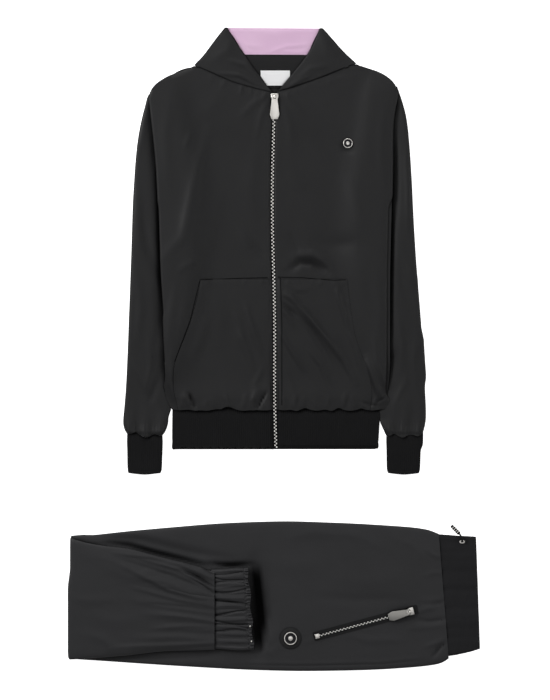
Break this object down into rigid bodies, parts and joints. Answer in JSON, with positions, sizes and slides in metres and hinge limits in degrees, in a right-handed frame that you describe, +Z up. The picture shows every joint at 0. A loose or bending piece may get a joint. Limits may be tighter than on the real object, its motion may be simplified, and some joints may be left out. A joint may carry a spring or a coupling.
{
  "type": "hooded zip jacket and trousers tracksuit, laid out and folded",
  "caption": "Black hooded zip jacket laid flat on its back, above its matching trousers folded lengthwise and back at the knee, ready to lie on a shelf or table.",
  "frame": {"origin": "middle of the set's footprint, on the surface that it lies on", "axes": "+Y from the trousers up to the jacket's hood, +X to the right as seen from above, +Z up from the surface"},
  "size_m": [0.74, 1.1556, 0.0261],
  "materials": {
    "nylon": "black nylon, satin",
    "rib_knit": "black rib knit, matte",
    "hood_lining": "lilac woven lining, soft satin",
    "label_cloth": "pale woven label, bare",
    "zip_tape": "black woven tape and cord",
    "zip_metal": "silver plated, polished",
    "badge_metal": "silver rim with a dark plain middle",
    "badge_patch": "black matte patch",
    "trouser_nylon": "black nylon, satin",
    "trouser_rib": "black rib knit, matte"
  },
  "bodies": {
    "root": {"back": "nylon", "front_left": "nylon", "front_right": "nylon", "pocket_left": "nylon", "pocket_right": "nylon", "sleeve_left": "nylon", "sleeve_right": "nylon", "hood_back": "nylon", "hood_left": "nylon", "hood_right": "nylon", "neck_facing": "nylon", "cuff_left": "rib_knit", "cuff_right": "rib_knit", "hem_rib_left": "rib_knit", "hem_rib_right": "rib_knit", "hem_rib_back": "rib_knit", "hood_lining": "hood_lining", "neck_label": "label_cloth", "zip_tape": "zip_tape", "pocket_zip_tape": "zip_tape", "drawcord": "zip_tape", "zip_chain": "zip_metal", "zip_slider": "zip_metal", "pocket_zip_chain": "zip_metal", "pocket_zip_slider": "zip_metal", "pocket_zip_stop": "zip_metal", "ankle_zip_stop_1": "zip_metal", "ankle_zip_stop_2": "zip_metal", "eyelet": "zip_metal", "cord_tip": "zip_metal", "chest_badge": "badge_metal", "thigh_badge": "badge_metal", "thigh_badge_patch": "badge_patch", "thigh_front": "trouser_nylon", "thigh_layers": "trouser_nylon", "lower_leg": "trouser_nylon", "shin_layers": "trouser_nylon", "ankle_cuff": "trouser_nylon", "waistband": "trouser_rib", "waistband_layers": "trouser_rib"},
    "jacket_pull": {"zip_pull": "zip_metal"},
    "pocket_pull": {"pocket_zip_pull": "zip_metal"}
  },
  "joints": [
    {"name": "jacket_pull_swing", "type": "hinge", "parent": "root", "child": "jacket_pull", "pos_m": [0.00153, 0.45275, 0.0131], "axis": [-1, 0, 0], "range_deg": [0, 150]},
    {"name": "pocket_pull_swing", "type": "hinge", "parent": "root", "child": "pocket_pull", "pos_m": [0.24427, -0.46981, 0.0201], "axis": [-0.2582, 0.9661, 0], "range_deg": [0, 150]}
  ]
}
